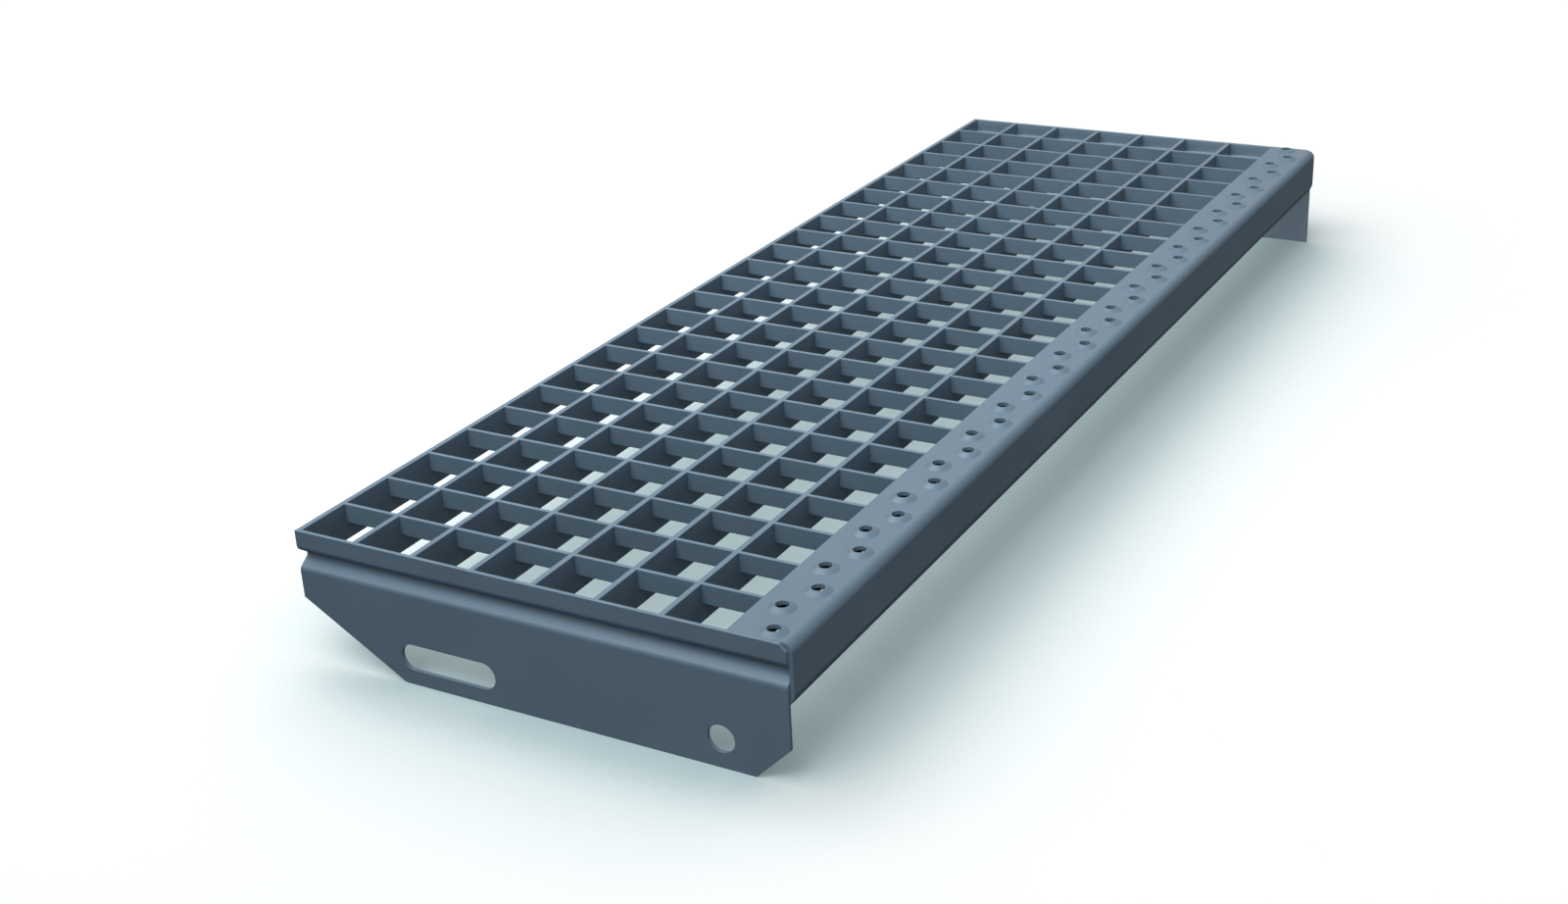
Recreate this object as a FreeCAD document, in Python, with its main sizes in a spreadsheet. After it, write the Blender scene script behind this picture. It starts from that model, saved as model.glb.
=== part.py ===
import FreeCAD, Part
import Sketcher
import math
import os

# Steel grating stair tread with a punched safety nosing and a profiled plate at each end.
#
# Row frame, in millimetres: X runs along the tread, -Y is the front with the nosing, +Z is up.
# The origin is the middle of the footprint, at the height of the end plates' lower edges.

DIMENSIONS = {
    # Whole tread
    "tread_length": 800.0,
    "tread_height": 70.0,
    "plate_depth": 270.0,
    "sheet_thick": 2.0,
    # Grating
    "cells_long": 24,
    "cells_deep": 7,
    "bar_pitch": 34.3,
    "bar_thick": 3.0,
    "bar_high": 19.0,
    "cross_thick": 2.0,
    "cross_high": 10.0,
    # Stiffening bead that is rolled into each end plate
    "bead_drop": 15.0,
    "bead_half": 5.2,
    "bead_depth": 7.2,
    "bead_bend": 1.4,
    # Corners that are cut off the end plates
    "rear_cut_long": 58.0,
    "rear_cut_high": 34.0,
    "front_cut": 18.0,
    "lip_cut": 3.6,
    # Bolt hole and slot in each end plate
    "bolt_hole": 14.0,
    "bolt_back": 35.0,
    "bolt_rise": 15.0,
    "bolt_gap": 150.0,
    "slot_long": 55.0,
    # Bearing bars' ends, which are cut back around the bead
    "relief_top": 8.0,
    "relief_low": 13.4,
    "relief_deep": 6.8,
    # Nosing
    "nosing_high": 30.0,
    "nosing_bend": 3.0,
    "hem_high": 4.2,
    "hem_deep": 2.0,
    "hem_bend": 2.0,
    # Raised, punched grips in the nosing
    "grip_end": 8.75,
    "grip_rows": 2,
    "grips_in_row": 20,
    "grip_front": 12.3,
    "grip_row_gap": 7.0,
    "grip_hole": 6.5,
    "grip_base": 13.4,
    "grip_crown": 7.8,
    "grip_rise": 1.7,
    "grip_under": 10.8,
    # Welds
    "bar_weld": 2.9,
    "bar_weld_drop": 17.2,
    "bar_weld_in": 0.3,
    "corner_weld": 2.5,
    "corner_weld_in": 1.8,
    "corner_weld_top": 5.0,
    "corner_weld_low": 24.5,
    "stitch_weld": 2.0,
    "stitch_in": 0.8,
    "stitch_long": 20.0,
    "stitches": 8,
    "stitch_cells": 3,
}

document = FreeCAD.newDocument("grating_stair_tread")
sheet = document.addObject("Spreadsheet::Sheet", "Dim")
for row, (alias, number) in enumerate(DIMENSIONS.items(), start=1):
    sheet.set(f"A{row}", alias)
    sheet.set(f"B{row}", str(number))
    sheet.setAlias(f"B{row}", alias)
document.recompute()

# Expressions that several sub-parts share
CELL_LONG = "((Dim.tread_length - Dim.sheet_thick) / Dim.cells_long)"
HALF_DEPTH = "((Dim.plate_depth + Dim.sheet_thick) / 2)"
REAR_BAR = f"({HALF_DEPTH} - Dim.bar_thick / 2)"
FRONT_BAR = f"({REAR_BAR} - Dim.cells_deep * Dim.bar_pitch)"
INNER_HALF = "(Dim.tread_length / 2 - Dim.sheet_thick)"
PLATE_FRONT = f"({HALF_DEPTH} - Dim.plate_depth)"
BEAD_SLANT = "sqrt(Dim.bead_half ^ 2 + Dim.bead_depth ^ 2)"
HEM_SLANT = "sqrt(Dim.hem_high ^ 2 + Dim.hem_deep ^ 2)"
TOUCH = 1e-6
EDGE_MISS = 1e-4

cells_long = int(sheet.cells_long)
cells_deep = int(sheet.cells_deep)
stitches = int(sheet.stitches)


def amount(expression):
    """The number that an expression of the sheet's cells gives."""
    return float(sheet.evalExpression(expression))


def place(piece, east="0", north="0", up="0"):
    """Puts a sub-part at a point of the row frame, each coordinate an expression."""
    piece.setExpression("Placement.Base.x", east)
    piece.setExpression("Placement.Base.y", north)
    piece.setExpression("Placement.Base.z", up)


def new_body(label, east="0", north="0", up="0"):
    body = document.addObject("PartDesign::Body", label)
    body.Label = label
    place(body, east, north, up)
    return body


def origin_part(body, role):
    return next(part for part in body.Origin.OriginFeatures if part.Role == role)


def new_sketch(body, name, role, offset="0"):
    """A sketch on one of the body's own origin planes, or at an offset along its normal."""
    sketch = body.newObject("Sketcher::SketchObject", name)
    sketch.AttachmentSupport = (origin_part(body, role), "")
    sketch.MapMode = "FlatFace"
    sketch.setExpression("AttachmentOffset.Base.z", offset)
    return sketch


def pin_down(sketch, shape, point, across, up):
    """Ties a point of a sketch to the sketch's origin, each distance an expression."""
    for kind, expression in (("DistanceX", across), ("DistanceY", up)):
        distance = amount(expression)
        if abs(distance) < TOUCH:
            axis = -2 if kind == "DistanceX" else -1
            sketch.addConstraint(Sketcher.Constraint("PointOnObject", shape, point, axis))
        elif distance > 0:
            tie = Sketcher.Constraint(kind, -1, 1, shape, point, distance)
            sketch.setExpression(f"Constraints[{sketch.addConstraint(tie)}]", expression)
        else:
            tie = Sketcher.Constraint(kind, shape, point, -1, 1, -distance)
            sketch.setExpression(f"Constraints[{sketch.addConstraint(tie)}]", f"-({expression})")


def draw_outline(sketch, corners):
    """A closed outline of straight lines through corners, each a pair of expressions."""
    spots = [FreeCAD.Vector(amount(across), amount(up), 0) for across, up in corners]
    count = len(spots)
    lines = []
    for number in range(count):
        line = Part.LineSegment(spots[number], spots[(number + 1) % count])
        lines.append(sketch.addGeometry(line))
    for number in range(count):
        following = lines[(number + 1) % count]
        sketch.addConstraint(Sketcher.Constraint("Coincident", lines[number], 2, following, 1))
    for line, (across, up) in zip(lines, corners):
        pin_down(sketch, line, 1, across, up)


def pad(body, name, sketch, length, both_ways=True, backwards=False):
    feature = body.newObject("PartDesign::Pad", name)
    feature.Profile = sketch
    feature.SideType = "Symmetric" if both_ways else "One side"
    feature.Reversed = backwards
    feature.setExpression("Length", length)
    document.recompute()
    return feature


def cut_through(body, name, sketch):
    """A pocket through everything on both sides of its sketch."""
    before = body.Shape.Volume
    feature = body.newObject("PartDesign::Pocket", name)
    feature.Profile = sketch
    feature.Type = "ThroughAll"
    feature.SideType = "Symmetric"
    document.recompute()
    if body.Shape.Volume > before - TOUCH:
        raise RuntimeError(f"{body.Label}: {name} cuts nothing")
    return feature


def repeat(body, name, features, role, spacing, occurrences):
    """Repeats features along one of the body's own axes."""
    pattern = body.newObject("PartDesign::LinearPattern", name)
    pattern.Originals = features
    pattern.Direction = (origin_part(body, role), [""])
    pattern.Mode = "Spacing"
    pattern.setExpression("Offset", spacing)
    pattern.setExpression("Occurrences", occurrences)
    body.Tip = pattern
    document.recompute()
    return pattern


def edges_along(shape, role, spots):
    """Names of the straight edges parallel to an axis through the given spots of its plane."""
    others = {"X_Axis": ("y", "z"), "Y_Axis": ("x", "z")}[role]
    names = []
    for number, edge in enumerate(shape.Edges, start=1):
        ends = [vertex.Point for vertex in edge.Vertexes]
        for spot in spots:
            misses = [abs(getattr(end, axis) - goal) for end in ends for axis, goal in zip(others, spot)]
            if max(misses) < EDGE_MISS:
                names.append(f"Edge{number}")
    return names


def round_edges(body, name, role, spots, radius):
    """Rounds the edges along an axis that pass through spots, each a pair of expressions."""
    base = body.Tip
    numbers = [(amount(first), amount(second)) for first, second in spots]
    edges = edges_along(base.Shape, role, numbers)
    if len(edges) != len(spots):
        raise RuntimeError(f"{body.Label}: {name} found {len(edges)} of {len(spots)} edges")
    feature = body.newObject("PartDesign::Fillet", name)
    feature.Base = (base, edges)
    feature.setExpression("Radius", radius)
    document.recompute()
    return feature


def draw_slot(sketch, near, far, height, radius):
    """A horizontal slot whose round ends have their centres at near and far."""
    half = amount(radius)
    level = amount(height)
    start, end = amount(near), amount(far)
    up = FreeCAD.Vector(0, 0, 1)
    arcs = []
    for centre, first, last in ((start, 90, 270), (end, 270, 450)):
        circle = Part.Circle(FreeCAD.Vector(centre, level, 0), up, half)
        arc = Part.ArcOfCircle(circle, math.radians(first), math.radians(last))
        arcs.append(sketch.addGeometry(arc))
    lines = []
    for side in (-1, 1):
        points = [FreeCAD.Vector(x, level + side * half, 0) for x in (start, end)]
        lines.append(sketch.addGeometry(Part.LineSegment(*points)))
    joints = ((0, 2, 0, 1), (0, 1, 1, 1), (1, 1, 0, 2), (1, 2, 1, 2))
    for arc, arc_end, line, line_end in joints:
        tie = Sketcher.Constraint("Tangent", arcs[arc], arc_end, lines[line], line_end)
        sketch.addConstraint(tie)
    sketch.addConstraint(Sketcher.Constraint("Equal", arcs[0], arcs[1]))
    pin_down(sketch, arcs[0], 3, near, height)
    pin_down(sketch, arcs[1], 3, far, height)
    size = sketch.addConstraint(Sketcher.Constraint("Radius", arcs[0], half))
    sketch.setExpression(f"Constraints[{size}]", radius)


def end_plate(label, side, front_cut):
    """Roll-formed plate with a V bead, cut corners, a bolt hole and a slot.

    Its own origin is on its outer face, at its front edge and its lower edge. side is -1 for
    the plate at -X and 1 for the plate at +X.
    """
    body = new_body(label, f"{side} * Dim.tread_length / 2", PLATE_FRONT)
    inward = -side
    top = "Dim.tread_height"
    upper = f"({top} - Dim.bead_drop + Dim.bead_half)"
    middle = f"({top} - Dim.bead_drop)"
    lower = f"({top} - Dim.bead_drop - Dim.bead_half)"
    mitre = f"(Dim.sheet_thick * Dim.bead_depth / ({BEAD_SLANT} + Dim.bead_half))"
    face = f"({inward} * Dim.sheet_thick)"
    outer_apex = f"({inward} * Dim.bead_depth)"
    inner_apex = f"({inward} * (Dim.bead_depth + Dim.sheet_thick * {BEAD_SLANT} / Dim.bead_half))"
    outside = [("0", top), ("0", upper), (outer_apex, middle), ("0", lower), ("0", "0")]
    inside = [(face, "0"), (face, f"({lower} - {mitre})"), (inner_apex, middle),
              (face, f"({upper} + {mitre})"), (face, top)]
    profile = new_sketch(body, f"{label}_profile", "XZ_Plane")
    draw_outline(profile, outside + inside)
    pad(body, f"{label}_sheet", profile, "Dim.plate_depth", both_ways=False, backwards=True)
    round_edges(body, f"{label}_tight_bends", "Y_Axis", [outside[2], inside[1], inside[3]],
                "Dim.bead_bend")
    round_edges(body, f"{label}_wide_bends", "Y_Axis", [outside[1], outside[3], inside[2]],
                "Dim.bead_bend + Dim.sheet_thick")

    corners = new_sketch(body, f"{label}_corners", "YZ_Plane")
    draw_outline(corners, [("Dim.plate_depth", "0"), ("Dim.plate_depth", "Dim.rear_cut_high"),
                           ("Dim.plate_depth - Dim.rear_cut_long", "0")])
    draw_outline(corners, [("0", top), ("0", f"{top} - Dim.lip_cut"), ("Dim.lip_cut", top)])
    if front_cut:
        draw_outline(corners, [("0", "0"), ("Dim.front_cut", "0"), ("0", "Dim.front_cut")])
    cut_through(body, f"{label}_corner_cuts", corners)

    holes = new_sketch(body, f"{label}_holes", "YZ_Plane")
    centre = FreeCAD.Vector(amount("Dim.bolt_back"), amount("Dim.bolt_rise"), 0)
    hole = holes.addGeometry(Part.Circle(centre, FreeCAD.Vector(0, 0, 1), amount("Dim.bolt_hole / 2")))
    pin_down(holes, hole, 3, "Dim.bolt_back", "Dim.bolt_rise")
    size = holes.addConstraint(Sketcher.Constraint("Radius", hole, amount("Dim.bolt_hole / 2")))
    holes.setExpression(f"Constraints[{size}]", "Dim.bolt_hole / 2")
    reach = "(Dim.slot_long - Dim.bolt_hole) / 2"
    draw_slot(holes, f"Dim.bolt_back + Dim.bolt_gap - {reach}", f"Dim.bolt_back + Dim.bolt_gap + {reach}",
              "Dim.bolt_rise", "Dim.bolt_hole / 2")
    cut_through(body, f"{label}_bolt_holes", holes)
    return body


def bearing_bar(label, number, top="0"):
    """Flat bar on edge with notches for the cross bars and ends that clear the plates' beads.

    Its own origin is at the middle of its length, at the height of the tread's top surface.
    top is the height of its upper edge from there.
    """
    body = new_body(label, "0", f"{FRONT_BAR} + {number} * Dim.bar_pitch", "Dim.tread_height")
    half = INNER_HALF
    short = f"({INNER_HALF} - Dim.relief_deep)"
    right = [(half, top), (half, "-Dim.relief_top"), (short, "-Dim.relief_low"), (short, "-Dim.bar_high")]
    left = [(f"-{across}", up) for across, up in reversed(right)]
    profile = new_sketch(body, f"{label}_side", "XZ_Plane")
    draw_outline(profile, right + left)
    pad(body, f"{label}_bar", profile, "Dim.bar_thick")

    first = f"({CELL_LONG} * (1 - Dim.cells_long / 2))"
    sides = [f"{first} - Dim.cross_thick / 2", f"{first} + Dim.cross_thick / 2"]
    notch = new_sketch(body, f"{label}_notch", "XZ_Plane")
    draw_outline(notch, [(sides[0], top), (sides[0], "-Dim.cross_high"),
                         (sides[1], "-Dim.cross_high"), (sides[1], top)])
    pocket = cut_through(body, f"{label}_first_notch", notch)
    repeat(body, f"{label}_notches", [pocket], "X_Axis", CELL_LONG, "Dim.cells_long - 1")
    return body


def cross_bar(label, number):
    """Flat strip pressed into the notches, with a low tongue under the nosing.

    Its own origin is on the tread's centre line, at the height of the tread's top surface.
    """
    body = new_body(label, f"{CELL_LONG} * ({number} - Dim.cells_long / 2)", "0", "Dim.tread_height")
    tip = f"({FRONT_BAR} - Dim.bar_thick / 2)"
    shoulder = f"({FRONT_BAR} + Dim.bar_thick / 2)"
    low = "-Dim.cross_high"
    under = "-Dim.sheet_thick"
    profile = new_sketch(body, f"{label}_side", "YZ_Plane")
    draw_outline(profile, [(tip, low), (HALF_DEPTH, low), (HALF_DEPTH, "0"),
                           (shoulder, "0"), (shoulder, under), (tip, under)])
    pad(body, f"{label}_strip", profile, "Dim.cross_thick")
    return body


def grip_piece(body, name, kind, across, back, up):
    """A cone or cylinder of the nosing, standing on a level plane."""
    feature = body.newObject(f"PartDesign::{kind}", name)
    feature.AttachmentSupport = (origin_part(body, "XY_Plane"), "")
    feature.MapMode = "FlatFace"
    feature.setExpression("AttachmentOffset.Base.x", across)
    feature.setExpression("AttachmentOffset.Base.y", back)
    feature.setExpression("AttachmentOffset.Base.z", up)
    return feature


def grip_row(body, name, row):
    """A row of raised cones, each hollow below and open at its crown."""
    step = "((Dim.tread_length - 2 * Dim.grip_end) / (Dim.grip_rows * Dim.grips_in_row - 1))"
    across = f"-Dim.tread_length / 2 + Dim.grip_end + {row} * {step}"
    back = f"Dim.grip_front + {row} * Dim.grip_row_gap"
    crown = grip_piece(body, f"{name}_crown", "AdditiveCone", across, back, "0")
    crown.setExpression("Radius1", "Dim.grip_base / 2")
    crown.setExpression("Radius2", "Dim.grip_crown / 2")
    crown.setExpression("Height", "Dim.grip_rise")
    hollow = grip_piece(body, f"{name}_hollow", "SubtractiveCone", across, back, "-Dim.sheet_thick")
    hollow.setExpression("Radius1", "Dim.grip_under / 2")
    hollow.setExpression("Radius2", "Dim.grip_hole / 2")
    hollow.setExpression("Height", "Dim.grip_rise")
    mouth = grip_piece(body, f"{name}_mouth", "SubtractiveCylinder", across, back, "-2 * Dim.sheet_thick")
    mouth.setExpression("Radius", "Dim.grip_hole / 2")
    mouth.setExpression("Height", "3 * Dim.sheet_thick + Dim.grip_rise")
    document.recompute()
    repeat(body, f"{name}_row", [crown, hollow, mouth], "X_Axis",
           f"Dim.grip_rows * {step}", "Dim.grips_in_row")


def make_nosing(label):
    """Folded nosing: a top flange with two rows of grips, a front face and a hem at its foot.

    Its own origin is at the middle of its length, on its front face at the top surface's height.
    """
    body = new_body(label, "0", f"-{HALF_DEPTH}", "Dim.tread_height")
    rear = f"({HALF_DEPTH} + {FRONT_BAR} + Dim.bar_thick / 2)"
    thick = "Dim.sheet_thick"
    fold = "(Dim.nosing_high - Dim.hem_high)"
    mitre = f"({thick} * Dim.hem_deep / ({HEM_SLANT} + Dim.hem_high))"
    outside = [(rear, "0"), ("0", "0"), ("0", f"-{fold}"), ("Dim.hem_deep", "-Dim.nosing_high")]
    foot = (f"Dim.hem_deep + {thick} * Dim.hem_high / {HEM_SLANT}",
            f"{thick} * Dim.hem_deep / {HEM_SLANT} - Dim.nosing_high")
    inside = [foot, (thick, f"({mitre} - {fold})"), (thick, f"-{thick}"), (rear, f"-{thick}")]
    profile = new_sketch(body, f"{label}_profile", "YZ_Plane")
    draw_outline(profile, outside + inside)
    pad(body, f"{label}_sheet", profile, f"2 * {INNER_HALF}")
    round_edges(body, f"{label}_outer_bend", "X_Axis", [outside[1]], f"Dim.nosing_bend + {thick}")
    round_edges(body, f"{label}_inner_bend", "X_Axis", [inside[2]], "Dim.nosing_bend")
    round_edges(body, f"{label}_outer_hem", "X_Axis", [outside[2]], f"Dim.hem_bend + {thick}")
    round_edges(body, f"{label}_inner_hem", "X_Axis", [inside[1]], "Dim.hem_bend")
    for row in range(int(sheet.grip_rows)):
        grip_row(body, f"{label}_grip_{row + 1}", row)
    return body


def weld_balls(name, radius, spots):
    """Balls of weld metal at spots, each three expressions, gathered in one compound."""
    balls = []
    for number, spot in enumerate(spots, start=1):
        ball = document.addObject("Part::Sphere", f"{name}_{number}")
        ball.Placement.Rotation = FreeCAD.Rotation(FreeCAD.Vector(1, 0, 0), 90)
        ball.setExpression("Radius", radius)
        place(ball, *spot)
        balls.append(ball)
    return gather(f"{name}_all", balls)


def gather(name, pieces):
    compound = document.addObject("Part::Compound", name)
    compound.Links = pieces
    return compound


def trim(name, base, tools):
    """Cuts base back to the faces of each tool in turn. The last cut carries the name."""
    for number, tool in enumerate(tools, start=1):
        last = number == len(tools)
        result = document.addObject("Part::Cut", name if last else f"{name}_cut_{number}")
        result.Base = base
        result.Tool = tool
        base = result
    base.Label = name
    document.recompute()
    return base


left_plate = end_plate("left_end_plate", -1, front_cut=True)
right_plate = end_plate("right_end_plate", 1, front_cut=False)
nosing = make_nosing("nosing")

front_bar = bearing_bar("front_bearing_bar", 0, top="-Dim.sheet_thick")
inner_bars = [bearing_bar(f"bearing_bar_{number}", number) for number in range(1, cells_deep)]
rear_bar = bearing_bar("rear_bearing_bar", cells_deep)
bars = [front_bar] + inner_bars + [rear_bar]
all_bars = gather("all_bearing_bars", bars)

cross_bars = [cross_bar(f"cross_bar_{number:02d}", number) for number in range(1, cells_long)]

welds = []
for side, plate in ((-1, left_plate), (1, right_plate)):
    word = {-1: "left", 1: "right"}[side]
    across = f"{side} * ({INNER_HALF} - Dim.relief_deep - Dim.bar_weld_in)"
    up = "Dim.tread_height - Dim.bar_weld_drop"
    rows = [f"{FRONT_BAR} + {number} * Dim.bar_pitch" for number in range(cells_deep)]
    rows.append(f"{REAR_BAR} - Dim.bar_thick")
    spots = [(across, row, up) for row in rows]
    balls = weld_balls(f"{word}_bar_weld", "Dim.bar_weld", spots)
    welds.append(trim(f"{word}_bar_welds", balls, [plate, all_bars]))

    across = f"{side} * ({INNER_HALF} - Dim.corner_weld_in)"
    back = f"{PLATE_FRONT} + Dim.corner_weld_in"
    spots = [(across, back, f"Dim.tread_height - Dim.corner_weld_{end}") for end in ("top", "low")]
    balls = weld_balls(f"{word}_nosing_weld", "Dim.corner_weld", spots)
    welds.append(trim(f"{word}_nosing_welds", balls, [plate, nosing]))

rods = []
for number in range(stitches):
    rod = document.addObject("Part::Cylinder", f"stitch_rod_{number + 1}")
    rod.setExpression("Radius", "Dim.stitch_weld")
    rod.setExpression("Height", "Dim.stitch_long")
    rod.Placement.Rotation = FreeCAD.Rotation(FreeCAD.Vector(0, 1, 0), 90)
    step = f"({number} - (Dim.stitches - 1) / 2) * Dim.stitch_cells * {CELL_LONG}"
    place(rod, f"{step} - Dim.stitch_long / 2",
          f"{FRONT_BAR} - Dim.bar_thick / 2 - Dim.stitch_in",
          "Dim.tread_height - Dim.sheet_thick - Dim.stitch_in")
    rods.append(rod)
welds.append(trim("nosing_bar_welds", gather("stitch_rods", rods), [nosing, front_bar]))

subparts = [left_plate, right_plate, nosing] + bars + cross_bars + welds

document.recompute()
for item in document.Objects:
    if "Invalid" in item.State or "Error" in item.State:
        raise RuntimeError(f"{item.Name} is {item.State}")
for item in subparts:
    if item.Shape.isNull() or not item.Shape.isValid() or not item.Shape.Solids:
        raise RuntimeError(f"{item.Label} has no valid solid")

os.makedirs("parts", exist_ok=True)
for item in subparts:
    item.Shape.exportStep(f"parts/{item.Label}.step")
    print(f"{item.Label}: {len(item.Shape.Solids)} solid(s), {item.Shape.Volume:.1f} mm3")
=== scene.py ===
import bmesh
import bpy
import math
from mathutils import Matrix, Vector


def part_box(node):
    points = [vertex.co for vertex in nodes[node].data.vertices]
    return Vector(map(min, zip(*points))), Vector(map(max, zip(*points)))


# Grating stair tread: the CAD nodes get their materials and small rounded edges, and stand on a white
# studio floor. Lengths are in metres, in the CAD frame: X along the tread, -Y is the nosing's side, Z up.

MM = 0.001

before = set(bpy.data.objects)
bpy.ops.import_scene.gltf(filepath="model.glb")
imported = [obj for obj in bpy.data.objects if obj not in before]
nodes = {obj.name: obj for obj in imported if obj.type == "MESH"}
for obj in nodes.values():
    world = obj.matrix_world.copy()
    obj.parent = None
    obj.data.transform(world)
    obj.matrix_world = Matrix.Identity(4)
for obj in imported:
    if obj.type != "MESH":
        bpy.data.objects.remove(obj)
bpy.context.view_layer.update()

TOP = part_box("rear_bearing_bar")[1].z
PLATES = ["left_end_plate", "right_end_plate"]
BARS = sorted(name for name in nodes if "bearing_bar" in name)
CROSS_BARS = sorted(name for name in nodes if name.startswith("cross_bar"))
WELDS = sorted(name for name in nodes if name.endswith("_welds"))


# ---------------------------------------------------------------- materials

STEEL = (0.101, 0.157, 0.210)
WELD_DARK = (0.085, 0.130, 0.172)
WELD_PALE = (0.125, 0.185, 0.240)
PAPER = (0.745, 0.745, 0.745)
# The paper's colour where shade is painted on it
PAPER_PAINTED_SHADE = (0.35, 0.45, 0.47)
PAPER_FIBRE = (0.78, 0.78, 0.78)
PAPER_GLOW = (0.78, 1.0, 1.0)

# Heights of the lower flank of the bead in the end plates, and how much paler the coat is painted there as a
# highlight
BEAD_FLANK = (TOP - 20.0 * MM, TOP - 14.8 * MM)
FLANK_PAINTED_HIGHLIGHT = 1.35

# The range in which most of a noise's values lie
NOISE_LOW = 0.3
NOISE_HIGH = 0.7

# How far around a point the floor looks for shade
SHADE_REACH = 0.8

# Distances from the tread's middle between which the floor's glow grows
GLOW_NEAR = 0.4
GLOW_FAR = 1.4


def shade(colour, factor):
    """The colour made lighter or darker by a factor."""
    return tuple(factor * part for part in colour)


class Nodes:
    """Short calls for building a material's node tree."""

    def __init__(self, name):
        self.material = bpy.data.materials.new(name)
        self.material.use_nodes = True
        self.tree = self.material.node_tree
        self.shader = self.tree.nodes["Principled BSDF"]
        self.place = self.add("ShaderNodeTexCoord").outputs["Object"]

    def add(self, kind, **settings):
        node = self.tree.nodes.new(kind)
        for key, value in settings.items():
            setattr(node, key, value)
        return node

    def link(self, source, target):
        self.tree.links.new(source, target)

    def noise(self, scale, detail, roughness, place=None):
        """Cloudy noise with scale grains to the metre."""
        node = self.add("ShaderNodeTexNoise")
        node.inputs["Scale"].default_value = scale
        node.inputs["Detail"].default_value = detail
        node.inputs["Roughness"].default_value = roughness
        self.link(place or self.place, node.inputs["Vector"])
        return node.outputs["Fac"]

    def stretch(self, factors):
        """The object's coordinates, scaled along each axis."""
        node = self.add("ShaderNodeMapping")
        node.inputs["Scale"].default_value = factors
        self.link(self.place, node.inputs["Vector"])
        return node.outputs["Vector"]

    def span(self, value, low, high, start, end, smooth=True):
        """Maps value from low..high to start..end, and holds it beyond."""
        node = self.add("ShaderNodeMapRange", interpolation_type="SMOOTHSTEP" if smooth else "LINEAR")
        sockets = ("From Min", "From Max", "To Min", "To Max")
        for socket, number in zip(sockets, (low, high, start, end)):
            node.inputs[socket].default_value = number
        self.link(value, node.inputs["Value"])
        return node.outputs["Result"]

    def multiply(self, first, second):
        node = self.add("ShaderNodeMath", operation="MULTIPLY")
        self.link(first, node.inputs[0])
        self.link(second, node.inputs[1])
        return node.outputs[0]

    def mix(self, factor, first, second):
        """Blends two colours, from first at 0 to second at 1."""
        node = self.add("ShaderNodeMix", data_type="RGBA")
        self.link(factor, node.inputs[0])
        colours = [socket for socket in node.inputs if socket.type == "RGBA"]
        for socket, value in zip(colours, (first, second)):
            if isinstance(value, tuple):
                socket.default_value = (*value, 1.0)
            else:
                self.link(value, socket)
        return next(socket for socket in node.outputs if socket.type == "RGBA")

    def height(self):
        """Height above the floor."""
        split = self.add("ShaderNodeSeparateXYZ")
        self.link(self.place, split.inputs["Vector"])
        return split.outputs["Z"]

    def bump(self, height, strength, distance, below=None):
        node = self.add("ShaderNodeBump")
        node.inputs["Strength"].default_value = strength
        node.inputs["Distance"].default_value = distance
        self.link(height, node.inputs["Height"])
        if below is not None:
            self.link(below, node.inputs["Normal"])
        return node.outputs["Normal"]


def coated_steel(name, colour, wear_and_highlight, grain=(1.0, 1.0, 1.0), flank=None):
    """Satin blue-grey coat on steel: a faint cloudy tone, fine grain, and top edges made paler,
    partly by rubbed wear and partly as a painted highlight.

    worn is how much paler the top edges are, and grain draws the grain out along an axis whose
    factor is below 1. flank is a range of heights, (low, high), in which the coat is painted paler
    throughout as a highlight.
    """
    kit = Nodes(name)
    shader = kit.shader
    clouds = kit.noise(14.0, 4.0, 0.6)
    tone = kit.span(clouds, NOISE_LOW, NOISE_HIGH, 0.0, 1.0)
    base = kit.mix(tone, shade(colour, 0.95), shade(colour, 1.05))
    speck = kit.noise(1100.0, 2.0, 0.6, kit.stretch(grain))
    base = kit.mix(kit.span(speck, 0.4, 0.8, 0.0, 0.35), base, shade(colour, 1.25))
    top_edge = kit.span(kit.height(), TOP - 1.0 * MM, TOP - 0.1 * MM, 0.0, 1.0)
    patches = kit.span(kit.noise(55.0, 4.0, 0.6), 0.35, 0.65, 0.4, 1.0)
    # Top edges paler in patches: partly rubbed wear, partly a painted highlight on the lit tops
    base = kit.mix(kit.multiply(top_edge, patches), base, shade(colour, wear_and_highlight))
    # A paler band painted on the bead's lower flank, as a highlight where light falls on it
    if flank:
        low, high = flank
        rising = kit.span(kit.height(), low - 0.6 * MM, low + 0.6 * MM, 0.0, 1.0)
        falling = kit.span(kit.height(), high - 0.4 * MM, high + 0.4 * MM, 1.0, 0.0)
        base = kit.mix(kit.multiply(rising, falling), base, shade(colour, FLANK_PAINTED_HIGHLIGHT))
    kit.link(base, shader.inputs["Base Color"])
    kit.link(kit.span(clouds, NOISE_LOW, NOISE_HIGH, 0.40, 0.48), shader.inputs["Roughness"])
    orange_peel = kit.bump(kit.noise(300.0, 2.0, 0.5), 0.06, 0.12 * MM)
    kit.link(kit.bump(speck, 0.08, 0.03 * MM, orange_peel), shader.inputs["Normal"])
    shader.inputs["Metallic"].default_value = 0.05
    shader.inputs["IOR"].default_value = 1.5
    return kit.material


def weld_metal(name):
    """Coated weld: rippled, and rougher than the sheet."""
    kit = Nodes(name)
    shader = kit.shader
    spatter = kit.noise(420.0, 4.0, 0.65)
    base = kit.mix(kit.span(spatter, NOISE_LOW, NOISE_HIGH, 0.0, 1.0), WELD_DARK, WELD_PALE)
    kit.link(base, shader.inputs["Base Color"])
    kit.link(kit.span(spatter, 0.2, 0.8, 0.42, 0.66), shader.inputs["Roughness"])
    kit.link(kit.bump(spatter, 0.5, 0.25 * MM), shader.inputs["Normal"])
    return kit.material


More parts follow.
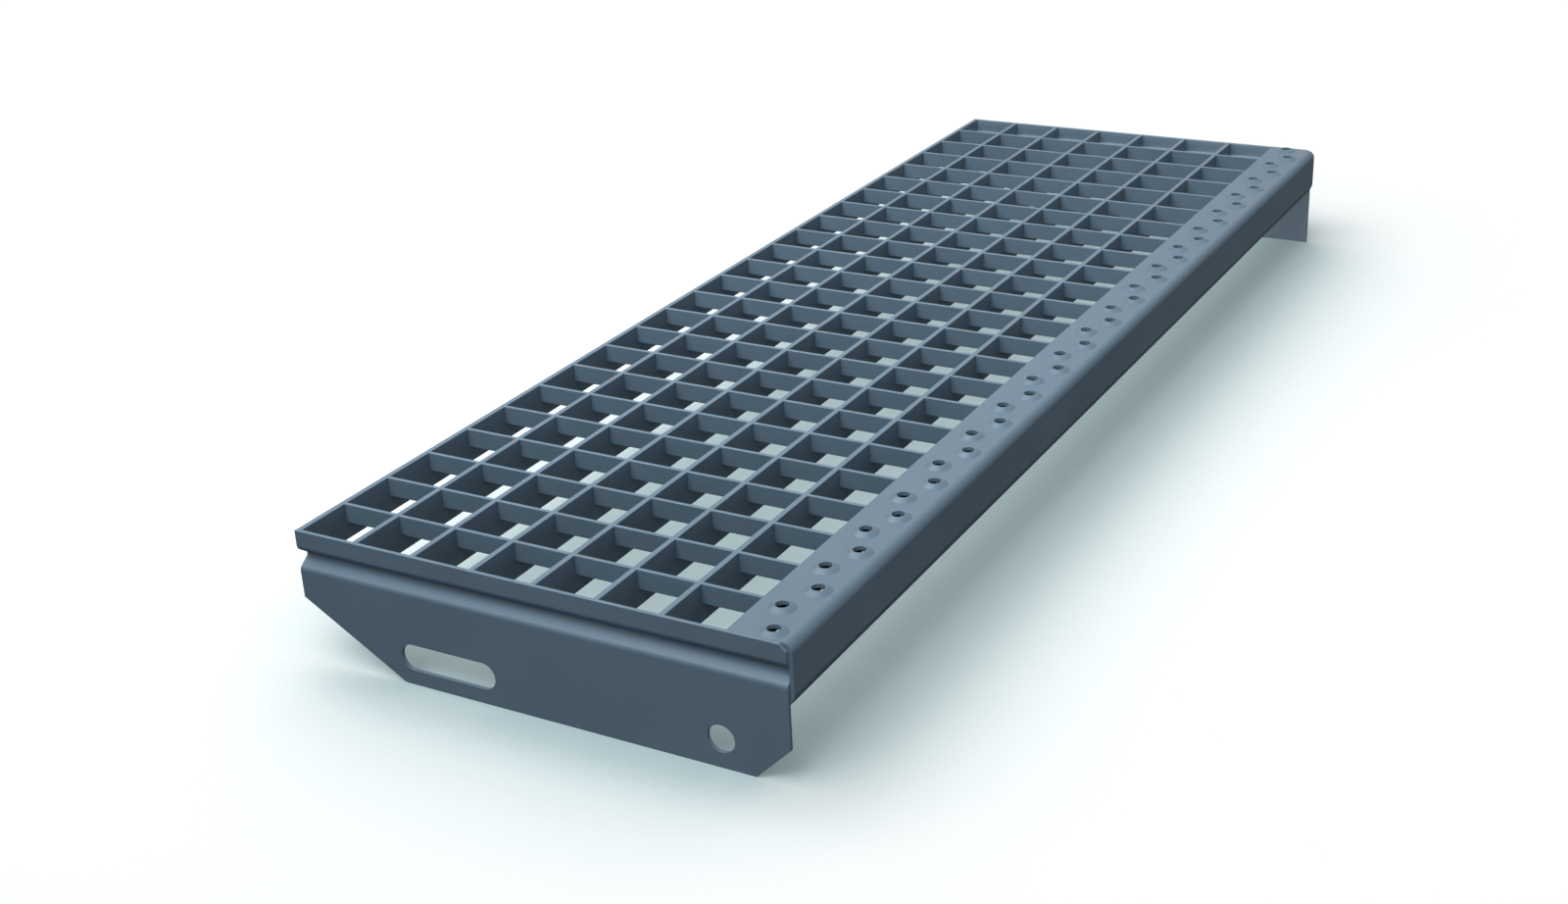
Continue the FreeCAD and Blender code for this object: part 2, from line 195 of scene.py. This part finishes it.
def floor_paper(name):
    """White paper with painted shade, pale teal where things stand near, and a glow that keeps it white far
    from the tread.
    """
    kit = Nodes(name)
    shader = kit.shader
    openness = kit.add("ShaderNodeAmbientOcclusion")
    openness.inputs["Distance"].default_value = SHADE_REACH
    # Painted shade: the paper turns pale teal where ambient occlusion finds things near
    lit = kit.span(openness.outputs["AO"], 0.6, 1.0, 0.0, 1.0, smooth=False)
    paper = kit.mix(lit, PAPER_PAINTED_SHADE, PAPER)
    fibre = kit.noise(700.0, 3.0, 0.6)
    paper = kit.mix(kit.span(fibre, NOISE_LOW, NOISE_HIGH, 0.0, 0.03), paper, PAPER_FIBRE)
    kit.link(paper, shader.inputs["Base Color"])
    shader.inputs["Emission Color"].default_value = (*PAPER_GLOW, 1.0)
    reach = kit.add("ShaderNodeVectorMath", operation="LENGTH")
    kit.link(kit.place, reach.inputs[0])
    glow = kit.span(reach.outputs["Value"], GLOW_NEAR, GLOW_FAR, 0.10, 0.28)
    kit.link(glow, shader.inputs["Emission Strength"])
    shader.inputs["Roughness"].default_value = 0.9
    shader.inputs["Specular IOR Level"].default_value = 0.0
    return kit.material


steel_plate = coated_steel("end_plate_steel", STEEL, wear_and_highlight=1.2, flank=BEAD_FLANK)
steel_nosing = coated_steel("nosing_steel", STEEL, wear_and_highlight=1.08, grain=(0.2, 1.0, 1.0))
steel_bar = coated_steel("bearing_bar_steel", STEEL, wear_and_highlight=1.15, grain=(0.15, 1.0, 1.0))
steel_cross = coated_steel("cross_bar_steel", STEEL, wear_and_highlight=1.2, grain=(1.0, 0.15, 1.0))
weld = weld_metal("weld_metal")


# ---------------------------------------------------------------- object

def dress(name, material, edge, angle=28.0):
    """Gives a CAD node its material, and rounds it by edge where it turns by more than angle, in degrees."""
    piece = nodes[name]
    piece.data.materials.clear()
    piece.data.materials.append(material)
    for face in piece.data.polygons:
        face.use_smooth = True
    join = piece.modifiers.new("join", "WELD")
    join.merge_threshold = 0.002 * MM
    flat = piece.modifiers.new("flat", "DECIMATE")
    flat.decimate_type = "DISSOLVE"
    flat.angle_limit = math.radians(0.4)
    if edge:
        bevel = piece.modifiers.new("edges", "BEVEL")
        bevel.width = edge
        bevel.segments = 3
        bevel.limit_method = "ANGLE"
        bevel.angle_limit = math.radians(angle)
        bevel.harden_normals = True
        bevel.miter_outer = "MITER_ARC"
    flatten = piece.modifiers.new("flat_faces", "WEIGHTED_NORMAL")
    flatten.mode = "FACE_AREA"
    flatten.weight = 100
    flatten.keep_sharp = True


for name in PLATES:
    dress(name, steel_plate, 0.35 * MM, 40.0)
for name in BARS:
    dress(name, steel_bar, 0.30 * MM)
for name in CROSS_BARS:
    dress(name, steel_cross, 0.25 * MM)
dress("nosing", steel_nosing, 0.25 * MM, 22.0)
for name in WELDS:
    dress(name, weld, 0.0)


# ---------------------------------------------------------------- stage

FLOOR_WIDTH = 60.0
BACKDROP_RADIUS = 28.0


def add_floor():
    """A wide floor, which throws no light back on the tread."""
    mesh = bpy.data.meshes.new("floor")
    half = FLOOR_WIDTH / 2
    corners = [(-half, -half, 0), (half, -half, 0), (half, half, 0), (-half, half, 0)]
    mesh.from_pydata(corners, [], [(0, 1, 2, 3)])
    floor = bpy.data.objects.new("floor", mesh)
    mesh.materials.append(floor_paper("floor_paper"))
    bpy.context.scene.collection.objects.link(floor)
    floor.visible_diffuse = False
    floor.visible_glossy = False


def add_backdrop():
    """A white surround that only the camera sees, so that the light stays as the sky gives it."""
    mesh = bpy.data.meshes.new("backdrop")
    work = bmesh.new()
    bmesh.ops.create_uvsphere(work, u_segments=48, v_segments=24, radius=BACKDROP_RADIUS)
    work.to_mesh(mesh)
    work.free()
    backdrop = bpy.data.objects.new("backdrop", mesh)
    material = bpy.data.materials.new("backdrop_white")
    material.use_nodes = True
    tree = material.node_tree
    tree.nodes.clear()
    glow = tree.nodes.new("ShaderNodeEmission")
    out = tree.nodes.new("ShaderNodeOutputMaterial")
    glow.inputs["Strength"].default_value = 1.1
    tree.links.new(glow.outputs["Emission"], out.inputs["Surface"])
    mesh.materials.append(material)
    bpy.context.scene.collection.objects.link(backdrop)
    for kind in ("diffuse", "glossy", "transmission", "volume_scatter", "shadow"):
        setattr(backdrop, f"visible_{kind}", False)


def add_sky(glows):
    """Soft studio light: the sum of broad glows, each a direction, a strength and a power that narrows it."""
    world = bpy.data.worlds.new("studio")
    bpy.context.scene.world = world
    world.use_nodes = True
    tree = world.node_tree
    tree.nodes.clear()
    toward = tree.nodes.new("ShaderNodeTexCoord").outputs["Generated"]
    total = None
    for axis, strength, power in glows:
        facing = tree.nodes.new("ShaderNodeVectorMath")
        facing.operation = "DOT_PRODUCT"
        facing.inputs[1].default_value = Vector(axis).normalized()
        clip = tree.nodes.new("ShaderNodeMath")
        clip.operation = "MAXIMUM"
        clip.inputs[1].default_value = 0.0
        curve = tree.nodes.new("ShaderNodeMath")
        curve.operation = "POWER"
        curve.inputs[1].default_value = power
        scale = tree.nodes.new("ShaderNodeMath")
        scale.operation = "MULTIPLY_ADD"
        scale.inputs[1].default_value = strength
        tree.links.new(toward, facing.inputs[0])
        tree.links.new(facing.outputs["Value"], clip.inputs[0])
        tree.links.new(clip.outputs[0], curve.inputs[0])
        tree.links.new(curve.outputs[0], scale.inputs[0])
        if total is None:
            scale.inputs[2].default_value = 0.0
        else:
            tree.links.new(total, scale.inputs[2])
        total = scale.outputs[0]
    sky = tree.nodes.new("ShaderNodeBackground")
    sky.inputs["Color"].default_value = (1.0, 1.0, 1.0, 1.0)
    out = tree.nodes.new("ShaderNodeOutputWorld")
    tree.links.new(total, sky.inputs["Strength"])
    tree.links.new(sky.outputs[0], out.inputs["Surface"])


def add_softbox(name, place, aim, size, watts, only=()):
    """A square of light at place, turned towards aim. It lights everything, or only the nodes named."""
    lamp = bpy.data.lights.new(name, "AREA")
    lamp.shape = "SQUARE"
    lamp.size = size
    lamp.energy = watts
    softbox = bpy.data.objects.new(name, lamp)
    softbox.location = place
    softbox.rotation_euler = (Vector(aim) - Vector(place)).to_track_quat("-Z", "Y").to_euler()
    softbox.visible_camera = False
    bpy.context.scene.collection.objects.link(softbox)
    if only:
        lit = bpy.data.collections.new(name + "_targets")
        for node in only:
            lit.objects.link(nodes[node])
        softbox.light_linking.receiver_collection = lit


def add_camera():
    """Looks down along the tread from beyond its left front corner."""
    aim = Vector((-0.2264, -0.0373, TOP))
    turn = math.radians(59.86)
    tilt = math.radians(24.10)
    roll = math.radians(2.88)
    distance = 1.0235
    level = math.cos(tilt)
    forward = Vector((math.sin(turn) * level, math.cos(turn) * level, -math.sin(tilt)))
    data = bpy.data.cameras.new("camera")
    data.sensor_width = 36.0
    data.lens = 46.15
    data.clip_end = 100.0
    camera = bpy.data.objects.new("camera", data)
    turned = forward.to_track_quat("-Z", "Y").to_matrix().to_4x4() @ Matrix.Rotation(-roll, 4, "Z")
    camera.matrix_world = Matrix.Translation(aim - forward * distance) @ turned
    bpy.context.scene.collection.objects.link(camera)
    bpy.context.scene.camera = camera


GLOWS = [
    ((-0.53, 0.0, 0.85), 8.8, 18.0),    # above the left end, the main light
    ((0.0, 0.50, 0.87), 0.3, 6.0),      # above and behind
    ((-1.0, 0.0, 0.30), 0.3, 4.0),      # left
    ((1.0, 0.3, 0.60), 0.85, 4.0),      # right
    ((0.0, -1.0, 0.30), 0.85, 4.0),     # front
]

add_floor()
add_backdrop()
add_sky(GLOWS)
add_softbox("softbox", place=(-0.20, 0.25, 0.60), aim=(0.40, 0.0, 0.0), size=0.5, watts=3.0)
# The light that a white floor would throw up at the inner face of the far end plate
add_softbox("bounce", place=(-0.05, 0.0, 0.03), aim=(0.40, 0.0, 0.03), size=0.2, watts=1.9,
            only=("right_end_plate",))
add_camera()
bpy.context.scene.view_settings.view_transform = "Standard"
